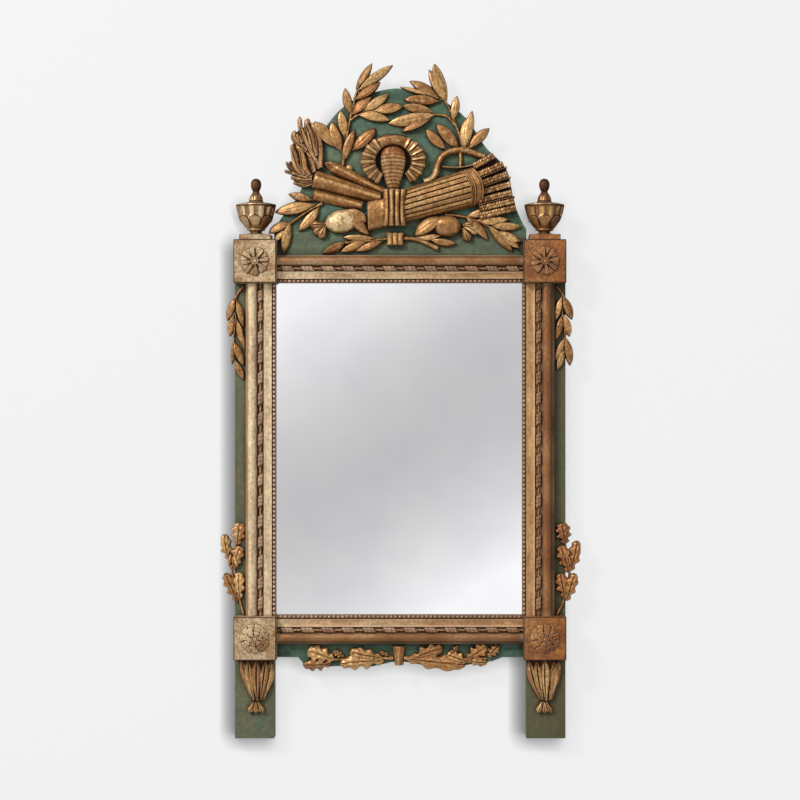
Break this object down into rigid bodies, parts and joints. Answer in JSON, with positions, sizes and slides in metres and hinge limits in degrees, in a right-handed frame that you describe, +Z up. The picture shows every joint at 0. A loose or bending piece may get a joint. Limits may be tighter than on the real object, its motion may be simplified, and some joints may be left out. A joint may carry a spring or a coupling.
{
  "type": "giltwood mirror",
  "caption": "Upright wall mirror in a green-painted frame with gilt mouldings, turned urns, two legs and a crest carved with quiver, torch, ribbon and laurel.",
  "frame": {"origin": "on the wall plane behind the centre of the glass, at the back boards' rear face", "axes": "+Z up, +X to the viewer's right, -Y out of the wall towards the viewer"},
  "size_m": [0.6401, 0.071, 1.201],
  "materials": {
    "gilt_wood": "worn water gilding on gesso and bole over carved wood",
    "bole_gilt_wood": "gilding worn through to the red bole",
    "green_painted_wood": "old matt green distemper, rubbed and dusty",
    "pine": "bare old pine, darkened",
    "mirror_glass": "silvered plate",
    "iron": "dark forged iron"
  },
  "bodies": {
    "frame": {"arrows": "gilt_wood", "backboard_nails": "iron", "backboards": "pine", "bow": "gilt_wood", "corner_block_bottom_left": "gilt_wood", "corner_block_bottom_right": "gilt_wood", "corner_block_top_left": "gilt_wood", "corner_block_top_right": "gilt_wood", "crest_batten_left": "pine", "crest_batten_right": "pine", "crest_board": "green_painted_wood", "frame_moulding_bottom": "gilt_wood", "frame_moulding_left": "gilt_wood", "frame_moulding_right": "gilt_wood", "frame_moulding_top": "gilt_wood", "garland_clasp": "gilt_wood", "glass_blocks": "pine", "hanger_straps": "iron", "husk_left": "gilt_wood", "husk_right": "gilt_wood", "laurel_branch_left": "gilt_wood", "laurel_branch_right": "gilt_wood", "laurel_drop_left": "gilt_wood", "laurel_drop_right": "gilt_wood", "laurel_spray_left": "gilt_wood", "laurel_spray_right": "gilt_wood", "mirror_glass": "mirror_glass", "oak_garland_left": "gilt_wood", "oak_garland_right": "gilt_wood", "oak_spray_left": "gilt_wood", "oak_spray_right": "gilt_wood", "pearl_strip_bottom": "bole_gilt_wood", "pearl_strip_left": "bole_gilt_wood", "pearl_strip_right": "bole_gilt_wood", "pearl_strip_top": "bole_gilt_wood", "quiver": "gilt_wood", "rail_bottom": "green_painted_wood", "rail_top": "green_painted_wood", "ribbon_bow": "gilt_wood", "ribbon_tie": "gilt_wood", "rose_stem_left": "gilt_wood", "rose_stem_right": "gilt_wood", "rosette_bottom_left": "gilt_wood", "rosette_bottom_right": "gilt_wood", "rosette_top_left": "gilt_wood", "rosette_top_right": "gilt_wood", "stem_tie": "gilt_wood", "stile_left": "green_painted_wood", "stile_right": "green_painted_wood", "torch": "gilt_wood", "torch_flames": "gilt_wood", "urn_left": "gilt_wood", "urn_lid_left": "gilt_wood", "urn_lid_right": "gilt_wood", "urn_plinth_left": "gilt_wood", "urn_plinth_right": "gilt_wood", "urn_right": "gilt_wood", "wood_screws": "iron"},
    "ring_left": {"hanging_ring_left": "iron"},
    "ring_right": {"hanging_ring_right": "iron"}
  },
  "joints": [
    {"name": "ring_left_swing", "type": "hinge", "parent": "frame", "child": "ring_left", "pos_m": [-0.095, -0.00435, 0.49], "axis": [1, 0, 0], "range_deg": [0, 180]},
    {"name": "ring_right_swing", "type": "hinge", "parent": "frame", "child": "ring_right", "pos_m": [0.095, -0.00435, 0.49], "axis": [1, 0, 0], "range_deg": [0, 180]}
  ]
}
